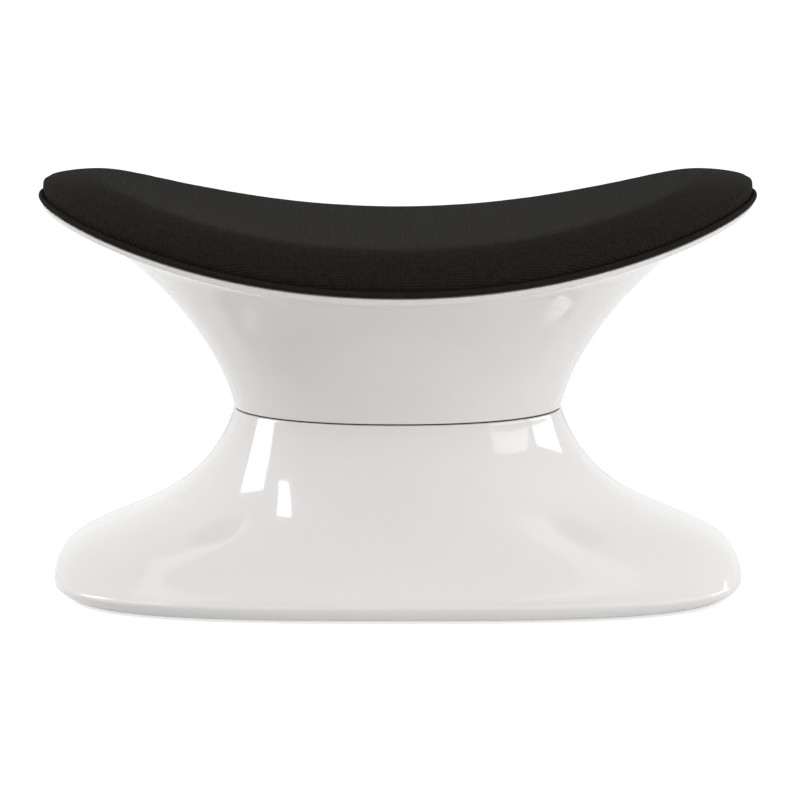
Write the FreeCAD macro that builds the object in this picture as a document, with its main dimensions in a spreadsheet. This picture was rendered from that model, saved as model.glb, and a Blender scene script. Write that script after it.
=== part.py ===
"""Ottoman: two gloss shells bolted together at a waist, under an upholstered saddle seat.

Lengths are millimetres and angles are degrees. The origin is on the floor under the middle of
the object, +X runs along the seat's long side, the front faces -Y and +Z is up.

Almost every outline is a superellipse, |x/a|^p + |y/b|^p = 1. A shell is a stack of such rings.
The seat's rim, board, foam and cover all lie on one arc, bent about an axis along Y above the seat.
"""
import FreeCAD, Part
import Sketcher
import math
import os

from FreeCAD import Placement, Rotation, Vector

# Driving dimensions
SIZES = {
    # Seat rim, seen from above, and the arc that it is bent to
    "rim_width": 674.0,
    "rim_depth": 453.0,
    "rim_power": 2.4,
    "rim_height": 302.0,
    "rim_rise": 71.0,
    "rim_strip": 6.5,
    # Waist, where the two shells meet
    "waist_width": 312.0,
    "waist_depth": 298.0,
    "waist_power": 2.15,
    "waist_height": 175.0,
    # Foot of the base shell
    "base_width": 654.0,
    "base_depth": 450.0,
    "base_power": 3.15,
    "lip_height": 12.5,
    "lip_end_tuck": 15.0,
    "lip_front_tuck": 3.5,
    # Walls, flanges and the ledge under the seat
    "shell_wall": 4.0,
    "flange_width": 42.0,
    "flange_thickness": 6.0,
    "ledge_width": 54.0,
    "ledge_thickness": 5.0,
    "gasket_thickness": 1.2,
    "gasket_recess": 2.0,
    # Seat pad
    "soft_gap": 0.3,
    "cover_thickness": 1.2,
    "hem_width": 25.0,
    "seat_board_thickness": 9.0,
    "pad_height": 43.0,
    "pad_end_shoulder": 55.0,
    "pad_front_shoulder": 25.0,
    "pad_end_power": 1.2,
    "pad_front_power": 2.0,
    "pad_side_height": 16.0,
    "pad_bulge": 2.0,
    "welt_diameter": 5.5,
    "welt_proud": 3.0,
    # Base board and what holds it
    "base_board_thickness": 9.0,
    "base_board_recess": 3.0,
    "base_board_gap": 0.5,
    "cleat_length": 56.0,
    "cleat_back": 14.0,
    "cleat_height": 18.0,
    "screw_inset": 30.0,
    # Feet
    "foot_stand": 2.5,
    "foot_diameter": 32.0,
    "foot_inset": 34.0,
    # Fasteners
    "fit_gap": 0.05,
    "hole_gap": 0.5,
    "waist_bolt_diameter": 8.0,
    "waist_bolt_flats": 13.0,
    "waist_bolt_head": 5.3,
    "waist_nut_height": 6.5,
    "waist_bolt_spare": 2.5,
    "waist_washer_diameter": 16.0,
    "waist_washer_thickness": 1.6,
    "seat_bolt_diameter": 6.0,
    "seat_bolt_flats": 10.0,
    "seat_bolt_head": 4.0,
    "seat_washer_diameter": 12.0,
    "seat_washer_thickness": 1.2,
    "tee_barrel_diameter": 8.0,
    "tee_barrel_length": 6.5,
    "tee_flange_diameter": 17.0,
    "tee_flange_thickness": 1.5,
    "screw_diameter": 4.0,
    "screw_head_diameter": 8.0,
    "screw_head_height": 2.4,
    "board_screw_bite": 12.0,
}

# Directions, from +X towards +Y, in which the repeated pieces stand
WAIST_BOLT_ANGLES = (30, 90, 150, 210, 270, 330)
SEAT_BOLT_ANGLES = (50, 90, 130, 230, 270, 310)
CLEAT_ANGLES = (0, 60, 120, 180, 240, 300)
FOOT_ANGLES = (0, 48, 132, 180, 228, 312)

# Profile curves as shares of their height and of their flare, from the waist to the outer edge
FUNNEL_PROFILE = ((0.0, 0.0), (0.46, 0.11), (0.96, 0.73), (1.0, 1.0))
BASE_END_PROFILE = ((0.0, 0.0), (0.76, 0.22), (0.58, 1.0), (1.0, 1.0))
BASE_FRONT_PROFILE = ((0.0, 0.0), (0.40, 0.30), (0.85, 0.55), (1.0, 1.0))

# Straight sides of a ring that shows, of a hidden ring, and of small fasteners and their holes
OUTER_SIDES = 64
HIDDEN_SIDES = 40
FASTENER_SIDES = 12
# Strips that make up a curved wall. The inside has half as many
FUNNEL_STRIPS = 12
BASE_STRIPS = 12
# How far four corners may lie out of one plane and still make one face
FLATNESS = 1e-7

doc = FreeCAD.newDocument("ottoman")
nodes = []


def make_sheet():
    """Spreadsheet with one named cell for each driving dimension."""
    sheet = doc.addObject("Spreadsheet::Sheet", "Sizes")
    for row, (alias, value) in enumerate(SIZES.items(), start=1):
        sheet.set(f"A{row}", alias)
        sheet.set(f"B{row}", str(value))
        sheet.setAlias(f"B{row}", alias)
    doc.recompute()
    return sheet


sheet = make_sheet()


def size(alias):
    """A driving dimension, read from the sheet."""
    return float(sheet.get(alias))


def node(item, label):
    """Give a sub-part the label that names its file."""
    item.Label = label
    nodes.append(item)
    return item


def feature(label, shape):
    """Sub-part whose shape is worked out here from the sheet."""
    item = doc.addObject("Part::Feature", label)
    item.Shape = shape
    item.Placement = Placement()
    return node(item, label)


# Rings and the solids lofted through them


def outline(half_width, half_depth, power, angle):
    """Point of a superellipse in the direction angle, in radians: its polar form."""
    across = math.cos(angle)
    along = math.sin(angle)
    reach = (abs(across) ** power + abs(along) ** power) ** (-1.0 / power)
    return half_width * reach * across, half_depth * reach * along


def side_directions(sides):
    """Directions that the straight sides of every ring face, spread along the rim's outline.

    Sides that face the same way are parallel, so the strips between level rings have flat faces.
    """
    power = size("rim_power") - 1.0
    directions = []
    for index in range(sides):
        angle = 2.0 * math.pi * index / sides
        across = math.copysign(abs(math.cos(angle)) ** power, math.cos(angle)) / size("rim_width")
        along = math.copysign(abs(math.sin(angle)) ** power, math.sin(angle)) / size("rim_depth")
        directions.append(math.atan2(along, across))
    return directions


def tangent_reach(half_width, half_depth, power, direction):
    """Distance from the middle to the superellipse's tangent that faces a direction: its dual form."""
    dual = power / (power - 1.0)
    across = abs(half_width * math.cos(direction)) ** dual
    along = abs(half_depth * math.sin(direction)) ** dual
    return (across + along) ** (1.0 / dual)


def corners(half_width, half_depth, power, sides):
    """Corners (x, y) of a ring whose sides touch the superellipse: where neighbouring tangents meet."""
    directions = side_directions(sides)
    reaches = [tangent_reach(half_width, half_depth, power, direction) for direction in directions]
    points = []
    for index in range(sides):
        first = directions[index - 1]
        second = directions[index]
        turn = math.sin(second - first)
        x = (reaches[index - 1] * math.sin(second) - reaches[index] * math.sin(first)) / turn
        y = (reaches[index] * math.cos(first) - reaches[index - 1] * math.cos(second)) / turn
        points.append((x, y))
    return points


def closed_wire(points):
    """Wire of straight edges through points and back to the first."""
    return Part.makePolygon(points + points[:1])


def ring(half_width, half_depth, power, height, sides=OUTER_SIDES):
    """Superellipse as the corners of its many sides. height is a number, or a function of x."""
    points = []
    for x, y in corners(half_width, half_depth, power, sides):
        points.append(Vector(x, y, height(x) if callable(height) else height))
    return points


def flat(points):
    """Flat face inside a closed run of points."""
    return Part.Face(closed_wire(points))


def strip(lower, upper):
    """Faces between two rings: one for each side, or two where its four corners aren't in a plane."""
    faces = []
    for index in range(len(lower)):
        a = lower[index - 1]
        b = lower[index]
        c = upper[index]
        d = upper[index - 1]
        across = (b - a).cross(c - a).normalize()
        if abs(across.dot(d - a)) < FLATNESS:
            faces.append(flat([a, b, c, d]))
        else:
            faces += [flat([a, b, c]), flat([a, c, d])]
    return faces


def end_faces(points):
    """Faces that close a ring: one if it is level, else strips across it from front to back.

    The ring is the same at its front and back, and its first two corners are a pair.
    """
    heights = [point.z for point in points]
    if max(heights) - min(heights) < FLATNESS:
        return [flat(points)]
    faces = []
    for index in range(1, len(points) // 2):
        front = [points[-index], points[1 - index]]
        faces.append(flat([points[index], points[index + 1]] + front))
    return faces


def loft(rings):
    """Solid of strips through a stack of rings."""
    faces = end_faces(rings[0]) + end_faces(rings[-1])
    for lower, upper in zip(rings, rings[1:]):
        faces += strip(lower, upper)
    return closed_solid(faces)


def closed_solid(faces):
    """Solid inside faces that meet edge to edge."""
    shell = Part.makeShell(faces)
    shell.sewShape()
    solid = Part.makeSolid(Part.Shell(shell.Faces))
    if solid.Volume < 0.0:
        solid.reverse()
    return solid


def prism(radius, height):
    """Many-sided stand-in for a small round hole: its flats touch the circle."""
    corner = radius / math.cos(math.pi / FASTENER_SIDES)
    points = []
    for index in range(FASTENER_SIDES):
        angle = 2.0 * math.pi * index / FASTENER_SIDES
        points.append(Vector(corner * math.cos(angle), corner * math.sin(angle), 0))
    return Part.Face(closed_wire(points)).extrude(Vector(0, 0, height))


def bezier(profile, share):
    """Point of a cubic profile curve: (share of the height, share of the flare)."""
    rest = 1.0 - share
    weights = (rest**3, 3.0 * rest**2 * share, 3.0 * rest * share**2, share**3)
    height = sum(weight * point[0] for weight, point in zip(weights, profile))
    flare = sum(weight * point[1] for weight, point in zip(weights, profile))
    return height, flare


def share_at(profile, height):
    """Share along a profile curve at which it passes a share of the height."""
    low = 0.0
    high = 1.0
    for _ in range(50):
        middle = 0.5 * (low + high)
        if bezier(profile, middle)[0] < height:
            low = middle
        else:
            high = middle
    return low


def flare_at(profile, height):
    """Share of the flare where a profile curve passes a share of the height."""
    return bezier(profile, share_at(profile, height))[1]


def blend(start, end, share):
    """Value part of the way from start to end."""
    return start + (end - start) * share


# The arc of the seat


def arc_radius():
    """Radius of the seat's arc, from the rise over half the rim's width."""
    half = size("rim_width") / 2.0
    rise = size("rim_rise")
    return (half**2 + rise**2) / (2.0 * rise)


def arc_centre():
    """Height of the arc's axis."""
    return size("rim_height") + arc_radius()


def on_arc(lift):
    """Height as a function of x, a distance lift above the rim, measured square to the arc."""
    radius = arc_radius() - lift
    return lambda x: arc_centre() - math.sqrt(radius**2 - x**2)


def seat_ring(inset, lift, front_inset=None, sides=OUTER_SIDES):
    """Ring on the seat: the rim's outline moved in by inset, lift above the rim's arc.

    front_inset is the inset at the front and back where it differs from the ends.
    """
    if front_inset is None:
        front_inset = inset
    half_width = size("rim_width") / 2.0 - inset
    half_depth = size("rim_depth") / 2.0 - front_inset
    return ring(half_width, half_depth, size("rim_power"), on_arc(lift), sides)


def seat_slab(inset, low, high):
    """Slab bent to the arc between two lifts, with upright edges moved in from the rim."""
    return loft([seat_ring(inset, low), seat_ring(inset, high)])


def seat_placement(inset, angle, lift):
    """Place on the seat, with Z square to the arc."""
    half_width = size("rim_width") / 2.0 - inset
    half_depth = size("rim_depth") / 2.0 - inset
    x, y = outline(half_width, half_depth, size("rim_power"), math.radians(angle))
    tilt = math.degrees(math.asin(x / arc_radius()))
    rotation = Rotation(Vector(0, 1, 0), -tilt)
    reach = rotation.multVec(Vector(0, 0, lift - arc_radius()))
    return Placement(Vector(0, y, arc_centre()) + reach, rotation)


# The waist joint


def waist_ring(inset, height, sides=HIDDEN_SIDES):
    """Ring on the waist's outline, moved in by inset."""
    half_width = size("waist_width") / 2.0 - inset
    half_depth = size("waist_depth") / 2.0 - inset
    return ring(half_width, half_depth, size("waist_power"), height, sides)


def waist_slab(inset, low, high):
    """Upright slab on the waist's outline, moved in by inset, between two heights."""
    return loft([waist_ring(inset, height) for height in (low, high)])


def waist_bolt_inset():
    """Bolts stand in the middle of what shows of the flange inside the wall."""
    return (size("flange_width") + size("shell_wall")) / 2.0


def waist_places(height):
    """Places of the waist bolts at one height."""
    inset = waist_bolt_inset()
    half_width = size("waist_width") / 2.0 - inset
    half_depth = size("waist_depth") / 2.0 - inset
    places = []
    for angle in WAIST_BOLT_ANGLES:
        x, y = outline(half_width, half_depth, size("waist_power"), math.radians(angle))
        places.append(Placement(Vector(x, y, height), Rotation()))
    return places


def waist_holes():
    """Cutters for the bolts, through both flanges."""
    radius = size("waist_bolt_diameter") / 2.0 + size("hole_gap")
    reach = size("gasket_thickness") / 2.0 + size("flange_thickness") + size("shell_wall")
    low = size("waist_height") - reach
    hole = prism(radius, 2.0 * reach)
    return placed_copies(hole, waist_places(low))


def placed_copies(shape, places):
    """Copies of a shape made at the origin, one at each place."""
    copies = []
    for place in places:
        copy = shape.copy()
        copy.Placement = place.multiply(shape.Placement)
        copies.append(copy)
    return copies


# Base shell


def lip_top():
    """Height of the crease above the lip."""
    return size("foot_stand") + size("lip_height")


def base_top():
    """Height of the base shell's upper face, under the gasket."""
    return size("waist_height") - size("gasket_thickness") / 2.0


def base_section(height):
    """Half width, half depth and power of the base shell's outside at one height."""
    share = min((base_top() - height) / (base_top() - lip_top()), 1.0)
    end = flare_at(BASE_END_PROFILE, share)
    front = flare_at(BASE_FRONT_PROFILE, share)
    half_width = blend(size("waist_width"), size("base_width"), end) / 2.0
    half_depth = blend(size("waist_depth"), size("base_depth"), front) / 2.0
    power = blend(size("waist_power"), size("base_power"), share)
    return half_width, half_depth, power


def levels(top, bottom, strips):
    """Heights of a wall's rings, evenly spaced."""
    return [blend(top, bottom, index / strips) for index in range(strips + 1)]


def wall_run(profile_half, height, wall):
    """Level thickness of a wall whose thickness square to the surface is wall."""
    step = 0.5
    slope = (profile_half(height - step) - profile_half(height + step)) / (2.0 * step)
    return wall * math.hypot(1.0, slope)


def base_inner_half(height, wall):
    """Half width, half depth and power of the base shell's inside, a wall from the outside."""
    step = 1.0
    inside = min(max(height, lip_top() + step), base_top() - step)
    half_width, half_depth, power = base_section(height)
    end_run = wall_run(lambda level: base_section(level)[0], inside, wall)
    front_run = wall_run(lambda level: base_section(level)[1], inside, wall)
    return half_width - end_run, half_depth - front_run, power


def base_inner_ring(height, wall):
    """Ring on the inside of the base shell."""
    return ring(*base_inner_half(height, wall), height, HIDDEN_SIDES)


def lip_half(tuck_share, wall):
    """Half width and half depth of the lip, tucked in and moved in by a wall."""
    half_width = size("base_width") / 2.0 - tuck_share * size("lip_end_tuck") - wall
    half_depth = size("base_depth") / 2.0 - tuck_share * size("lip_front_tuck") - wall
    return half_width, half_depth


def lip_ring(tuck_share, wall, height, sides=OUTER_SIDES):
    """Ring on the lip at the foot of the base shell."""
    return ring(*lip_half(tuck_share, wall), size("base_power"), height, sides)


def base_levels():
    """Heights of the base shell's rings, from the waist to the crease above the lip."""
    return levels(base_top(), lip_top(), BASE_STRIPS)


def base_cavity(wall):
    """Hollow of the base shell, a wall inside it, from under the flange down through the foot."""
    floor = size("foot_stand")
    under_flange = base_top() - size("flange_thickness")
    rings = [base_inner_ring(under_flange, wall)]
    for height in base_levels()[::2]:
        if height < under_flange - wall:
            rings.append(base_inner_ring(height, wall))
    for height in (floor, floor - wall):
        rings.append(lip_ring(1.0, wall, height, HIDDEN_SIDES))
    return loft(rings)


def make_base_shell():
    """Flared shell with a lip, a flange at the waist and bolt holes through the flange."""
    wall = size("shell_wall")
    floor = size("foot_stand")
    under_flange = base_top() - size("flange_thickness")
    # Share of the tuck that the lip has halfway down, which rounds it
    lip_middle = 0.25
    lip_level = blend(floor, lip_top(), 0.5)
    outside = []
    for height in base_levels():
        outside.append(ring(*base_section(height), height))
    outside += [lip_ring(lip_middle, 0.0, lip_level), lip_ring(1.0, 0.0, floor)]
    opening = waist_slab(size("flange_width"), under_flange - wall, base_top() + wall)
    return feature("base_shell", loft(outside).cut([base_cavity(wall), opening] + waist_holes()))


# Upper shell


def upper_low():
    """Height of the upper shell's lower face, on the gasket."""
    return size("waist_height") + size("gasket_thickness") / 2.0


def funnel_ring(share, wall=0.0, sides=OUTER_SIDES):
    """Ring of the upper shell, moved in by a wall. share runs along its profile from the waist."""
    under_strip = on_arc(-size("rim_strip"))
    rise_share, flare = bezier(FUNNEL_PROFILE, share)
    half_width = blend(size("waist_width"), size("rim_width"), flare) / 2.0
    half_depth = blend(size("waist_depth"), size("rim_depth"), flare) / 2.0
    power = blend(size("waist_power"), size("rim_power"), flare)
    rim_half = size("rim_width") / 2.0
    end_run = wall * funnel_lean(share, size("waist_width"), size("rim_width"), under_strip(rim_half))
    front_run = wall * funnel_lean(share, size("waist_depth"), size("rim_depth"), under_strip(0.0))

    own = corners(half_width - end_run, half_depth - front_run, power, sides)
    rim = corners(rim_half, size("rim_depth") / 2.0, size("rim_power"), sides)
    points = []
    for (x, y), (rim_x, _) in zip(own, rim):
        points.append(Vector(x, y, blend(upper_low(), under_strip(rim_x), rise_share)))
    return points


def funnel_lean(share, waist, rim, rim_height):
    """Level thickness of the upper shell's wall for each unit of its true thickness."""
    step = 0.01
    low = bezier(FUNNEL_PROFILE, max(share - step, 0.0))
    high = bezier(FUNNEL_PROFILE, min(share + step, 1.0))
    run = (high[1] - low[1]) * (rim - waist) / 2.0
    rise = (high[0] - low[0]) * (rim_height - size("waist_height"))
    return math.hypot(1.0, run / rise)


def seat_bolt_inset():
    """Seat bolts stand this far in from the rim, with their washers inside the ledge's edge."""
    return size("ledge_width") - size("seat_washer_diameter") / 2.0 - size("hole_gap")


def seat_places(lift):
    """Places of the seat bolts, a distance lift above the rim's arc."""
    return [seat_placement(seat_bolt_inset(), angle, lift) for angle in SEAT_BOLT_ANGLES]


def seat_holes(diameter, low, high):
    """Cutters for the seat bolts between two lifts."""
    return placed_copies(prism(diameter / 2.0, high - low), seat_places(low))


def funnel_cavity():
    """Hollow of the upper shell, from the flange up to the underside of the ledge."""
    wall = size("shell_wall")
    thick = size("ledge_thickness")
    over_flange = upper_low() + size("flange_thickness")
    front_rise = on_arc(-size("rim_strip"))(0.0) - upper_low()
    # The wall's first and last rings stand clear of the flange and of the ledge at the front
    first = share_at(FUNNEL_PROFILE, 1.5 * size("flange_thickness") / front_rise)
    last = share_at(FUNNEL_PROFILE, 1.0 - 2.0 * thick / front_rise)
    rings = [waist_ring(wall, over_flange)]
    shares = [index / FUNNEL_STRIPS for index in range(0, FUNNEL_STRIPS, 2)]
    between = [share for share in shares if first < share < last]
    for share in [first] + between + [last]:
        rings.append(funnel_ring(share, wall, HIDDEN_SIDES))
    root = size("ledge_width") - size("seat_washer_diameter") - 2.0 * size("hole_gap")
    rings.append(seat_ring(root, -thick, sides=HIDDEN_SIDES))
    return loft(rings)


def make_upper_shell():
    """Funnel with a saddle rim, a ledge that carries the seat and a flange at the waist."""
    thick = size("ledge_thickness")
    wall = size("shell_wall")
    outside = [funnel_ring(index / FUNNEL_STRIPS) for index in range(FUNNEL_STRIPS + 1)]
    body = loft(outside + [seat_ring(0.0, 0.0)])
    over_flange = upper_low() + size("flange_thickness")
    bolt_hole = size("seat_bolt_diameter") + 2.0 * size("hole_gap")
    cutters = [
        funnel_cavity(),
        seat_slab(size("ledge_width"), -2.0 * thick, thick),
        waist_slab(size("flange_width"), upper_low() - wall, over_flange + wall),
    ]
    cutters += waist_holes() + seat_holes(bolt_hole, -2.0 * thick, thick)
    return feature("upper_shell", body.cut(cutters))


def make_waist_gasket():
    """Flat ring between the flanges, set back from the outside so that it shows as a dark seam."""
    thick = size("gasket_thickness")
    slab = waist_slab(size("gasket_recess"), base_top(), upper_low())
    opening = waist_slab(size("flange_width"), base_top() - thick, upper_low() + thick)
    return feature("waist_gasket", slab.cut([opening] + waist_holes()))


# Seat pad


def pad_levels():
    """Lifts above the rim of the hem, the board and the foam, from the bottom up."""
    gap = size("soft_gap")
    hem_low = gap
    hem_high = hem_low + size("cover_thickness")
    board_low = hem_high + gap
    board_high = board_low + size("seat_board_thickness")
    return hem_low, hem_high, board_low, board_high


def cover_inset():
    """Inset of the cover's outside where it is drawn in behind the welt."""
    return size("welt_diameter") - size("welt_proud") + size("soft_gap")


def board_inset():
    """Inset of the seat board's edge, inside the cover."""
    return cover_inset() + size("cover_thickness") + size("soft_gap")


def welt_top():
    """Lift of the level just above the welt."""
    return 2.0 * size("soft_gap") + size("welt_diameter")


def side_inset(depth, lift):
    """Inset of the pad's side, which goes straight up behind the welt and then swells."""
    share = (lift - welt_top()) / (size("pad_side_height") - welt_top())
    swell = math.sin(0.5 * math.pi * min(max(share, 0.0), 1.0))
    return cover_inset() + depth - size("pad_bulge") * swell


def pad_form(depth, low):
    """Pad from a lift upwards, depth inside the cover's outside.

    Above its widest level the side turns over in a quarter of a superellipse.
    """
    side = size("pad_side_height")
    widest = side_inset(depth, side)
    rise = size("pad_height") - depth - side
    end_run = size("pad_end_shoulder") - depth
    front_run = size("pad_front_shoulder") - depth
    lifts = [low] + [lift for lift in (welt_top(), blend(welt_top(), side, 0.5)) if lift > low]
    rings = [seat_ring(side_inset(depth, lift), lift) for lift in lifts]
    for quarter in (0.0, 0.25, 0.5, 0.75, 1.0):
        share = math.sin(0.5 * math.pi * quarter)
        end_inset = widest + end_run * shoulder_run(share, size("pad_end_power"))
        front_inset = widest + front_run * shoulder_run(share, size("pad_front_power"))
        rings.append(seat_ring(end_inset, side + rise * share, front_inset))
    return loft(rings)


def shoulder_run(share, power):
    """How far the shoulder has turned in at a share of its rise: a quarter of a superellipse."""
    return 1.0 - (1.0 - share**power) ** (1.0 / power)


def make_seat_foam():
    """Cushion on the seat board, swollen at its sides."""
    depth = size("cover_thickness") + size("soft_gap")
    return feature("seat_foam", pad_form(depth, pad_levels()[3] + size("soft_gap")))


def make_seat_cover():
    """Fabric over the foam, down the board's edge and turned under it as a hem."""
    thick = size("cover_thickness")
    hem_low, hem_high, _, _ = pad_levels()
    opening = seat_slab(cover_inset() + size("hem_width"), -thick, hem_high + thick)
    return feature("seat_cover", pad_form(0.0, hem_low).cut([pad_form(thick, hem_high), opening]))


def make_seat_welt():
    """Piping that lies on the rim, standing proud of it."""
    radius = size("welt_diameter") / 2.0
    inset = radius - size("welt_proud")
    lift = size("soft_gap") + radius
    sides = 6
    rings = []
    for index in range(sides):
        angle = 2.0 * math.pi * (index + 0.5) / sides
        across = radius * math.cos(angle)
        rings.append(seat_ring(inset - across, lift + radius * math.sin(angle)))
    faces = []
    for index in range(sides):
        faces += strip(rings[index - 1], rings[index])
    return feature("seat_welt", closed_solid(faces))


def make_seat_board():
    """Bent plywood under the foam, bored for the tee nuts."""
    _, _, low, high = pad_levels()
    barrel = size("tee_barrel_diameter") + 2.0 * size("fit_gap")
    seat = size("tee_flange_diameter") + 2.0 * size("fit_gap")
    depth = size("tee_flange_thickness") + size("fit_gap")
    cutters = seat_holes(barrel, low - depth, high) + seat_holes(seat, high - depth, high + depth)
    return feature("seat_board", seat_slab(board_inset(), low, high).cut(cutters))


# Turned and many-sided fasteners


def origin_plane(body, role):
    """One of a body's own origin planes."""
    return [item for item in body.Origin.OriginFeatures if item.Role == role][0]


def turned(name, profile):
    """Body turned about Z from a closed profile of (radius, height) formulas on the sheet."""
    body = doc.addObject("PartDesign::Body", name)
    sketch = body.newObject("Sketcher::SketchObject", name + "_profile")
    sketch.AttachmentSupport = [(origin_plane(body, "XZ_Plane"), "")]
    sketch.MapMode = "FlatFace"
    corners = []
    for radius, height in profile:
        corners.append(Vector(sheet.evalExpression(radius), sheet.evalExpression(height), 0))
    count = len(corners)
    for index in range(count):
        sketch.addGeometry(Part.LineSegment(corners[index], corners[(index + 1) % count]), False)
    for index in range(count):
        sketch.addConstraint(Sketcher.Constraint("Coincident", index, 2, (index + 1) % count, 1))
    for index, (radius, height) in enumerate(profile):
        hold(sketch, "DistanceX", index, radius, corners[index].x, -2)
        hold(sketch, "DistanceY", index, height, corners[index].y, -1)
    revolution = body.newObject("PartDesign::Revolution", name + "_turned")
    revolution.Profile = sketch
    revolution.ReferenceAxis = (sketch, ["V_Axis"])
    revolution.Angle = 360.0
    doc.recompute()
    return body


def hold(sketch, kind, index, formula, value, axis):
    """Bind one coordinate of a profile's corner to its formula, or put the corner on an axis."""
    if value == 0.0:
        sketch.addConstraint(Sketcher.Constraint("PointOnObject", index, 1, axis))
        return
    number = sketch.addConstraint(Sketcher.Constraint(kind, -1, 1, index, 1, value))
    sketch.setExpression(f"Constraints[{number}]", formula)


def many_sided(name, sides, corner, height, lift):
    """Prism on the Z axis whose sizes are formulas on the sheet. corner is its corners' radius."""
    item = doc.addObject("Part::Prism", name)
    item.Polygon = sides
    item.setExpression("Circumradius", corner)
    item.setExpression("Height", height)
    item.setExpression("Placement.Base.z", lift)
    return item


def hexagon(name, flats, height, lift):
    """Six-sided head or nut, from its width across flats."""
    return many_sided(name, 6, f"({flats}) / (2 * cos(30 deg))", height, lift)


def rod(name, diameter, height, lift):
    """Shank or disc, whose corners lie on its circle."""
    return many_sided(name, FASTENER_SIDES, f"({diameter}) / 2", height, lift)


def bore(name, diameter, height):
    """Hole through a fastener, whose flats lie outside its circle. It passes both of its ends."""
    corner = f"({diameter} + 2 * Sizes.fit_gap) / (2 * cos(180 deg / {FASTENER_SIDES}))"
    return many_sided(name, FASTENER_SIDES, corner, f"2 * ({height})", f"-({height}) / 2")


def joined(name, kind, base, tool):
    """Boolean of two objects."""
    item = doc.addObject(kind, name)
    item.Base = base
    item.Tool = tool
    doc.recompute()
    return item


def group(label, master, places):
    """Node of separate copies of one fastener."""
    return feature(label, Part.makeCompound(placed_copies(master.Shape, places)))


def washer(name, outer, hole, thickness):
    """Flat washer."""
    disc = rod(f"{name}_disc", outer, thickness, "0")
    return joined(name, "Part::Cut", disc, bore(f"{name}_bore", hole, thickness))


def make_waist_fasteners():
    """Bolts with a washer at each end and a nut below."""
    shank_diameter = "Sizes.waist_bolt_diameter"
    flats = "Sizes.waist_bolt_flats"
    nut_height = "Sizes.waist_nut_height"
    grip = "Sizes.gasket_thickness + 2 * (Sizes.flange_thickness + Sizes.waist_washer_thickness)"
    shank = f"{grip} + {nut_height} + Sizes.waist_bolt_spare"
    bolt = joined(
        "waist_bolt",
        "Part::Fuse",
        hexagon("waist_bolt_head_form", flats, "Sizes.waist_bolt_head", "0"),
        rod("waist_bolt_shank", shank_diameter, shank, f"-({shank})"),
    )
    nut = joined(
        "waist_nut",
        "Part::Cut",
        hexagon("waist_nut_body", flats, nut_height, "0"),
        bore("waist_nut_bore", shank_diameter, nut_height),
    )
    disc = washer(
        "waist_washer", "Sizes.waist_washer_diameter", shank_diameter, "Sizes.waist_washer_thickness"
    )
    top = upper_low() + size("flange_thickness")
    low = base_top() - size("flange_thickness")
    thick = size("waist_washer_thickness")
    group("waist_bolts", bolt, waist_places(top + thick))
    group("waist_washers", disc, waist_places(top) + waist_places(low - thick))
    group("waist_nuts", nut, waist_places(low - thick - size("waist_nut_height")))


def make_seat_fasteners():
    """Tee nuts in the seat board, and the bolts and washers under the ledge."""
    shank_diameter = "Sizes.seat_bolt_diameter"
    barrel = "Sizes.tee_barrel_length"
    tee_height = f"{barrel} + Sizes.tee_flange_thickness"
    tee_body = joined(
        "seat_tee_body",
        "Part::Fuse",
        rod("seat_tee_barrel", "Sizes.tee_barrel_diameter", tee_height, "0"),
        rod("seat_tee_flange", "Sizes.tee_flange_diameter", "Sizes.tee_flange_thickness", barrel),
    )
    tee_bore = bore("seat_tee_bore", shank_diameter, tee_height)
    tee_nut = joined("seat_tee_nut", "Part::Cut", tee_body, tee_bore)
    disc = washer(
        "seat_washer", "Sizes.seat_washer_diameter", shank_diameter, "Sizes.seat_washer_thickness"
    )
    top = pad_levels()[3] - size("fit_gap")
    under = -size("ledge_thickness") - size("seat_washer_thickness")
    head = "Sizes.seat_bolt_head"
    bolt = joined(
        "seat_bolt",
        "Part::Fuse",
        hexagon("seat_bolt_head_form", "Sizes.seat_bolt_flats", head, f"-{head}"),
        rod("seat_bolt_shank", shank_diameter, str(top - under), "0"),
    )
    tee_low = top - size("tee_barrel_length") - size("tee_flange_thickness")
    group("seat_tee_nuts", tee_nut, seat_places(tee_low))
    group("seat_bolts", bolt, seat_places(under))
    group("seat_washers", disc, seat_places(under))


# Base board, cleats and feet


def board_low():
    """Height of the base board's underside."""
    return size("foot_stand") + size("base_board_recess")


def board_top():
    """Height of the base board's upper side."""
    return board_low() + size("base_board_thickness")


def base_board_half():
    """Half width and half depth of the base board, clear of the lip's opening and of the wall."""
    gap = size("base_board_gap")
    lip_width, lip_depth = lip_half(1.0, size("shell_wall"))
    wall_width, wall_depth, _ = base_inner_half(board_top(), size("shell_wall"))
    return min(lip_width, wall_width) - gap, min(lip_depth, wall_depth) - gap


def board_places(angles, inset, height):
    """Places round the base board, moved in from its edge, with X pointing outwards."""
    half_width, half_depth = base_board_half()
    places = []
    for angle in angles:
        x, y = outline(half_width - inset, half_depth - inset, size("base_power"), math.radians(angle))
        places.append(Placement(Vector(x, y, height), edge_rotation(x, y)))
    return places


def edge_rotation(x, y):
    """Turn about Z that points X out of the base board's edge, square to the outline."""
    half_width, half_depth = base_board_half()
    power = size("base_power") - 1.0
    across = math.copysign(abs(x / half_width) ** power / half_width, x)
    along = math.copysign(abs(y / half_depth) ** power / half_depth, y)
    return Rotation(Vector(0, 0, 1), math.degrees(math.atan2(along, across)))


def screw_places(height):
    """Places of the board screws, which go up into the cleats."""
    return board_places(CLEAT_ANGLES, size("screw_inset"), height)


def foot_places(height):
    """Places of the feet."""
    return board_places(FOOT_ANGLES, size("foot_inset"), height)


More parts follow.
